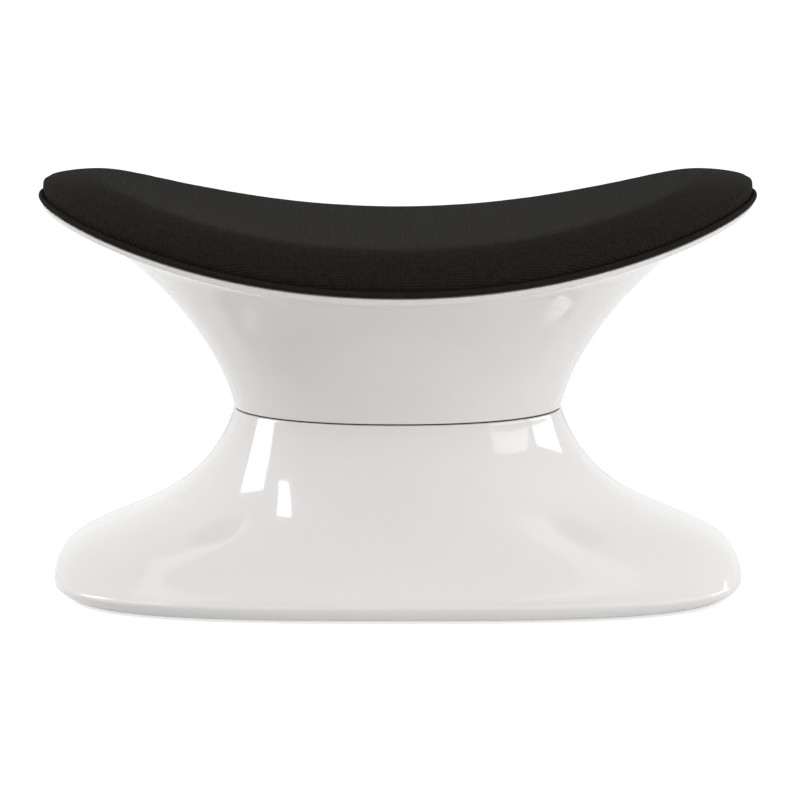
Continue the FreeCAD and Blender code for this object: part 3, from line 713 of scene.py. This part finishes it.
def make_clouds():
    """Smooth noise about 0.5, for gloss that changes a little from place to place."""
    group, given, result = new_group(
        "clouds",
        [("Vector", "NodeSocketVector"), ("Scale", "NodeSocketFloat"), ("Detail", "NodeSocketFloat")],
        [("Value", "NodeSocketFloat")],
    )
    noise = add(group, "ShaderNodeTexNoise", {"Roughness": CLOUD_ROUGHNESS})
    group.links.new(given["Vector"], noise.inputs["Vector"])
    group.links.new(given["Scale"], noise.inputs["Scale"])
    group.links.new(given["Detail"], noise.inputs["Detail"])
    group.links.new(noise.outputs["Fac"], result["Value"])
    return group


clouds = make_clouds()

# %% [markdown]
# ## Weave
#
# A plain weave is two sets of threads that pass over and under each other. Each thread is a round
# ridge, so its height is |sin| across it, and which set is on top swaps from crossing to crossing:
# the product of two cosines decides it. Threads also vary a little in thickness. The colour gets
# painted shade where the height is low, in the gaps between threads.

# %% Group: weave
SLUB_SCALE = 160.0
SLUB_DETAIL = 2.0
NOISE_MIDDLE = 0.5
THREAD_LEVEL = 0.75
OVER_UNDER = 0.45


def make_weave():
    """Height and painted gap shade of a plain weave, from lengths in metres and a pitch in metres."""
    group, given, result = new_group(
        "weave",
        [("Vector", "NodeSocketVector"), ("Pitch", "NodeSocketFloat"), ("Slub", "NodeSocketFloat")],
        [("Height", "NodeSocketFloat"), ("Shade", "NodeSocketFloat")],
    )
    slub = add(group, "ShaderNodeTexNoise", {"Scale": SLUB_SCALE, "Detail": SLUB_DETAIL})
    group.links.new(given["Vector"], slub.inputs["Vector"])
    split = add(group, "ShaderNodeSeparateXYZ")
    group.links.new(given["Vector"], split.inputs[0])
    uneven = math_step(group, "SUBTRACT", slub.outputs["Fac"], NOISE_MIDDLE)
    wobble = math_step(group, "MULTIPLY", uneven, given["Slub"])

    def phase(length):
        """Angle at a length: pi for each thread, and the wobble of uneven threads."""
        threads = math_step(group, "DIVIDE", length, given["Pitch"])
        return math_step(group, "ADD", math_step(group, "MULTIPLY", threads, math.pi), wobble)

    across = phase(split.outputs["X"])
    along = phase(split.outputs["Y"])
    warp = math_step(group, "ABSOLUTE", math_step(group, "SINE", across))
    weft = math_step(group, "ABSOLUTE", math_step(group, "SINE", along))
    across_wave = math_step(group, "COSINE", across)
    along_wave = math_step(group, "COSINE", along)
    swap = math_step(group, "MULTIPLY", across_wave, along_wave)
    over = math_step(group, "MULTIPLY", swap, OVER_UNDER)
    warp_up = math_step(group, "MULTIPLY", warp, math_step(group, "ADD", over, THREAD_LEVEL))
    weft_up = math_step(group, "MULTIPLY", weft, math_step(group, "SUBTRACT", THREAD_LEVEL, over))
    height = math_step(group, "MAXIMUM", warp_up, weft_up)
    group.links.new(height, result["Height"])
    # Shade is painted shade: darker where the height is low, in the gaps, times a random thread tone.
    lighter = math_step(group, "ADD", slub.outputs["Fac"], NOISE_MIDDLE)
    group.links.new(math_step(group, "MULTIPLY", height, lighter), result["Shade"])
    return group


weave = make_weave()

# %% [markdown]
# ## Finishes
#
# The gloss white is a plastic with a clear, hard skin: a pale base, a coat over it, and a very
# shallow waviness, which is what bends the windows' reflections a little. The fabric is black with a
# faint sheen, and painted shade in the gaps between its threads. What is hidden inside still gets a
# finish of its own.

# %% Gloss white shells
GLOSS_WHITE = (0.87, 0.855, 0.84, 1.0)
GLOSS_DIMMEST = 0.985
GLOSS_LEAST_ROUGHNESS = 0.08
GLOSS_HAZE = 0.05
WAVE_DEPTH = 0.0006
WAVE_STRENGTH = 0.25


def gloss_shell():
    """Hard white plastic with a clear coat and slight waviness."""
    material, tree, shader = new_material("gloss_shell", IOR=1.46, Coat_Weight=0.8, Coat_Roughness=0.02)
    place = add(tree, "ShaderNodeTexCoord").outputs["Object"]
    tone = place_group(tree, clouds, place, Scale=9.0, Detail=3.0)["Value"]
    dimmer = tuple(GLOSS_DIMMEST * part for part in GLOSS_WHITE[:3]) + (1.0,)
    tree.links.new(colour_mix(tree, tone, dimmer, GLOSS_WHITE), shader.inputs["Base Color"])
    haze = place_group(tree, clouds, place, Scale=40.0, Detail=5.0)["Value"]
    vary_roughness(tree, shader, haze, GLOSS_HAZE, GLOSS_LEAST_ROUGHNESS)
    wave = place_group(tree, clouds, place, Scale=14.0, Detail=1.0)["Value"]
    bump(tree, wave, shader, WAVE_DEPTH, WAVE_STRENGTH)
    return material


gloss_white = gloss_shell()
base_shell.data.materials.append(gloss_white)
upper_shell.data.materials.append(gloss_white)

# %% Black fabric
# FABRIC_DARK is painted shade in the gaps between threads, and FABRIC_LIGHT is the thread tops.
FABRIC_DARK = (0.003, 0.003, 0.0028, 1.0)
FABRIC_LIGHT = (0.026, 0.0247, 0.0226, 1.0)
PAD_PITCH = 0.0027
PAD_THREAD_DEPTH = 0.0007
WELT_PITCH = 0.0012
WELT_THREAD_DEPTH = 0.0003
THREAD_SLUB = 0.7


def black_fabric(name, pitch, depth):
    """Woven black cloth with a faint sheen, and painted shade in the gaps between its threads."""
    material, tree, shader = new_material(
        name, Roughness=0.9, Sheen_Weight=0.02, Sheen_Roughness=0.4, Specular_IOR_Level=0.025
    )
    lengths = add(tree, "ShaderNodeUVMap", uv_map="UVMap").outputs["UV"]
    threads = place_group(tree, weave, lengths, Pitch=pitch, Slub=THREAD_SLUB)
    # Painted shade: the colour runs from FABRIC_DARK in the gaps to FABRIC_LIGHT on the threads.
    colour = colour_mix(tree, threads["Shade"], FABRIC_DARK, FABRIC_LIGHT)
    tree.links.new(colour, shader.inputs["Base Color"])
    bump(tree, threads["Height"], shader, depth)
    return material


seat_pad.data.materials.append(black_fabric("pad_fabric", PAD_PITCH, PAD_THREAD_DEPTH))
seat_piping.data.materials.append(black_fabric("welt_fabric", WELT_PITCH, WELT_THREAD_DEPTH))

# %% Rubber, plywood and zinc
RUBBER_BLACK = (0.02, 0.02, 0.02, 1.0)
BIRCH_PALE = (0.72, 0.55, 0.36, 1.0)
BIRCH_DARK = (0.50, 0.34, 0.19, 1.0)
ZINC_GREY = (0.60, 0.60, 0.58, 1.0)
GRAIN_STRETCH = (1.0, 14.0, 14.0)


def black_rubber():
    """Matt rubber with a fine grain."""
    material, tree, shader = new_material("black_rubber", Base_Color=RUBBER_BLACK)
    place = add(tree, "ShaderNodeTexCoord").outputs["Object"]
    grain = place_group(tree, clouds, place, Scale=900.0, Detail=2.0)["Value"]
    vary_roughness(tree, shader, grain, spread=0.2, least=0.6)
    bump(tree, grain, shader, distance=0.0002, strength=0.5)
    return material


def plywood():
    """Birch face: long soft grain along X, with darker streaks."""
    material, tree, shader = new_material("plywood", Roughness=0.6)
    place = add(tree, "ShaderNodeTexCoord").outputs["Object"]
    stretch = add(tree, "ShaderNodeMapping", {"Scale": GRAIN_STRETCH})
    tree.links.new(place, stretch.inputs["Vector"])
    grain = place_group(tree, clouds, stretch.outputs["Vector"], Scale=14.0, Detail=6.0)["Value"]
    tree.links.new(colour_mix(tree, grain, BIRCH_DARK, BIRCH_PALE), shader.inputs["Base Color"])
    bump(tree, grain, shader, distance=0.0003, strength=0.4)
    return material


def zinc_steel():
    """Zinc plated steel with cloudy gloss."""
    material, tree, shader = new_material("zinc_steel", Base_Color=ZINC_GREY, Metallic=1.0)
    place = add(tree, "ShaderNodeTexCoord").outputs["Object"]
    spangle = place_group(tree, clouds, place, Scale=260.0, Detail=3.0)["Value"]
    vary_roughness(tree, shader, spangle, spread=0.3, least=0.2)
    return material


FINISHES = {
    black_rubber(): ("waist_gasket", "foot_pads"),
    plywood(): ("seat_board", "base_board", "board_cleats"),
    zinc_steel(): (
        "seat_tee_nuts",
        "seat_bolts",
        "seat_washers",
        "waist_bolts",
        "waist_washers",
        "waist_nuts",
        "board_screws",
    ),
}
for finish, names in FINISHES.items():
    for name in names:
        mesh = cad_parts[name].data
        mesh.materials.clear()
        mesh.materials.append(finish)
        print(name, "gets", finish.name)

# %% [markdown]
# ## Floor, light and camera
#
# The photograph is a studio picture on white. The floor stays a real surface, so that it keeps the
# object's shadow, and it glows, more to the camera than in reflections, so that it meets the white
# world with no edge. The world is plain white to the camera and in reflections. Soft lamps round the
# object light it, and stay out of its reflections.

# %% Floor
FLOOR_HALF = 30.0
FLOOR_LEVEL = -0.0003
FLOOR_GLOW = 0.74
FLOOR_MIRRORED_GLOW = 0.42
FLOOR_COLOUR = (0.68, 0.68, 0.68, 1.0)


def make_floor():
    """Flat pale floor under the object, which glows for the camera and less in reflections."""
    sides = ((-1, -1), (1, -1), (1, 1), (-1, 1))
    corners = [(x * FLOOR_HALF, y * FLOOR_HALF, FLOOR_LEVEL) for x, y in sides]
    mesh = bpy.data.meshes.new("floor")
    mesh.from_pydata(corners, [], [(0, 1, 2, 3)])
    floor = bpy.data.objects.new("floor", mesh)
    scene.collection.objects.link(floor)
    material, tree, shader = new_material(
        "pale_floor", Base_Color=FLOOR_COLOUR, Roughness=0.9, Emission_Color=WHITE
    )
    ray = add(tree, "ShaderNodeLightPath").outputs
    mirrored = math_step(tree, "MAXIMUM", ray["Is Glossy Ray"], ray["Is Transmission Ray"])
    seen_glow = math_step(tree, "MULTIPLY", ray["Is Camera Ray"], FLOOR_GLOW)
    mirrored_glow = math_step(tree, "MULTIPLY", mirrored, FLOOR_MIRRORED_GLOW)
    glow = math_step(tree, "MAXIMUM", seen_glow, mirrored_glow)
    tree.links.new(glow, shader.inputs["Emission Strength"])
    mesh.materials.append(material)


make_floor()

# %% World
AMBIENT = 0.42


def make_world():
    """White where it is seen or reflected, and a plain even light elsewhere."""
    world = bpy.data.worlds.new("studio")
    world.use_nodes = True
    tree = world.node_tree
    sky = tree.nodes["Background"]
    sky.inputs["Color"].default_value = WHITE
    ray = add(tree, "ShaderNodeLightPath").outputs
    seen = math_step(tree, "MAXIMUM", ray["Is Camera Ray"], ray["Is Glossy Ray"])
    seen = math_step(tree, "MAXIMUM", seen, ray["Is Transmission Ray"])
    strength = math_step(tree, "ADD", math_step(tree, "MULTIPLY", seen, 1.0 - AMBIENT), AMBIENT)
    tree.links.new(strength, sky.inputs["Strength"])
    scene.world = world


make_world()

# %% Lamps
OBJECT_MIDDLE = Vector((0.0, 0.0, 0.2))


def soft_lamp(name, place, size, power):
    """Rectangular lamp that faces the object's middle. Gloss doesn't show it."""
    light = bpy.data.lights.new(name, "AREA")
    light.shape = "RECTANGLE"
    light.size, light.size_y = size
    light.energy = power
    lamp = bpy.data.objects.new(name, light)
    lamp.location = place
    lamp.rotation_euler = (OBJECT_MIDDLE - Vector(place)).to_track_quat("-Z", "Y").to_euler()
    lamp.visible_glossy = False
    scene.collection.objects.link(lamp)


soft_lamp("left_high", (-2.2, -0.3, 1.7), size=(1.4, 1.4), power=19.0)
soft_lamp("left_low", (-2.1, -1.0, 0.25), size=(1.2, 0.4), power=3.0)
soft_lamp("right_high", (1.7, -0.6, 2.2), size=(1.4, 1.4), power=6.0)
soft_lamp("right_low", (2.2, -1.1, 0.25), size=(1.4, 0.4), power=17.0)
soft_lamp("front_top", (0.0, -2.0, 2.6), size=(2.0, 1.4), power=15.0)
soft_lamp("back_low", (0.5, 2.4, 0.7), size=(1.8, 1.0), power=7.0)

# %% [markdown]
# A gloss surface shows the shape of a lamp, so the windows in the photograph's reflections need
# panels of their own. Each is a four-cornered sheet far away, placed by the directions of its
# corners as the shell reflects them. It glows only for gloss, so it doesn't change the light.

# %% Bright panels for the reflections
PANEL_DISTANCE = 20.0


def bright_panel(name, corners, brightness):
    """Panel with its corners in (azimuth, elevation) degrees: azimuth 0 is the front, 90 the right."""
    turn, climb = np.radians(np.array(corners)).T
    level = np.cos(climb)
    toward = np.stack([np.sin(turn) * level, -np.cos(turn) * level, np.sin(climb)], axis=-1)
    points = np.array(OBJECT_MIDDLE) + PANEL_DISTANCE * toward
    mesh = bpy.data.meshes.new(name)
    mesh.from_pydata(points.tolist(), [], [(0, 1, 2, 3)])
    material, _, _ = new_material(
        name, Base_Color=BLACK, Emission_Color=WHITE, Emission_Strength=brightness
    )
    mesh.materials.append(material)
    panel = bpy.data.objects.new(name, mesh)
    panel.visible_camera = False
    panel.visible_diffuse = False
    panel.visible_shadow = False
    scene.collection.objects.link(panel)


bright_panel("left_window", [(-113, 13), (-93, 19), (-88, 45), (-111, 44)], brightness=5.0)
bright_panel("left_small_window", [(-75, 41), (-66, 41), (-46, 52), (-60, 55)], brightness=9.0)
bright_panel("right_window", [(105, 17), (133, 7), (132, 18), (106, 23)], brightness=5.0)
bright_panel("right_blind", [(63, 26), (101, 18), (94, 27), (64, 31)], brightness=2.6)
bright_panel("left_curtain", [(-114, 57), (-84, 59), (-97, 81), (-101, 79)], brightness=1.6)
bright_panel("right_curtain", [(53, 54), (91, 58), (93, 65), (36, 83)], brightness=1.5)

# %% Camera
CAMERA_DISTANCE = 6.0
CAMERA_ELEVATION = math.radians(7.42)
CAMERA_TARGET = Vector((0.0021, 0.0, 0.1792))
VIEW_WIDTH = 0.7619
SENSOR_WIDTH = 36.0
FAR_CLIP = 100.0


def make_camera():
    """Long lens, straight at the front and a little above the seat."""
    lens = bpy.data.cameras.new("camera")
    lens.sensor_width = SENSOR_WIDTH
    lens.sensor_fit = "HORIZONTAL"
    lens.lens = SENSOR_WIDTH * CAMERA_DISTANCE / VIEW_WIDTH
    lens.clip_end = FAR_CLIP
    camera = bpy.data.objects.new("camera", lens)
    back = Vector((0.0, -math.cos(CAMERA_ELEVATION), math.sin(CAMERA_ELEVATION)))
    camera.location = CAMERA_TARGET + CAMERA_DISTANCE * back
    camera.rotation_euler = (-back).to_track_quat("-Z", "Y").to_euler()
    scene.collection.objects.link(camera)
    scene.camera = camera
    print("lens", round(lens.lens, 1), "mm")


make_camera()
